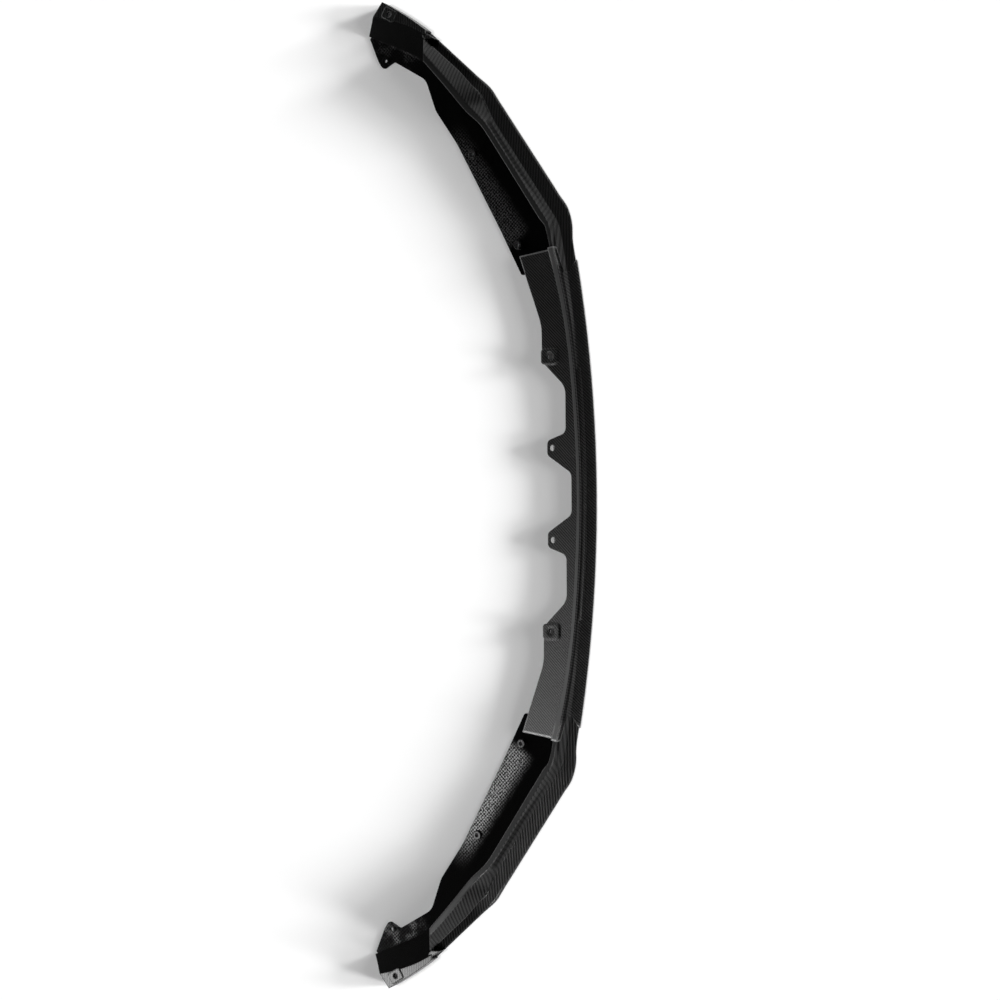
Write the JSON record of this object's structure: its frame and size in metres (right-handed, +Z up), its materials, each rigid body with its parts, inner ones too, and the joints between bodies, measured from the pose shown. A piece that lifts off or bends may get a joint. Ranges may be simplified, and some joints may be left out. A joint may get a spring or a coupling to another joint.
{
  "type": "front splitter lip",
  "caption": "Bowed carbon-fibre front splitter lip for a car: a thin blade and ridge with a drilled rear flange, lapped over swept-back corner mouldings with a winglet and a fixing strip.",
  "frame": {"origin": "middle of the plan, on the flat underside that the lip lies on", "axes": "+X across the car towards its left side, -Y towards the front of the car, +Z up"},
  "size_m": [1.779, 0.4566, 0.0451],
  "materials": {
    "carbon_twill": "black carbon twill under a gloss clear coat, with a rough inner face"
  },
  "bodies": {
    "root": {"centre_section": "carbon_twill", "left_corner": "carbon_twill", "right_corner": "carbon_twill"}
  },
  "joints": []
}
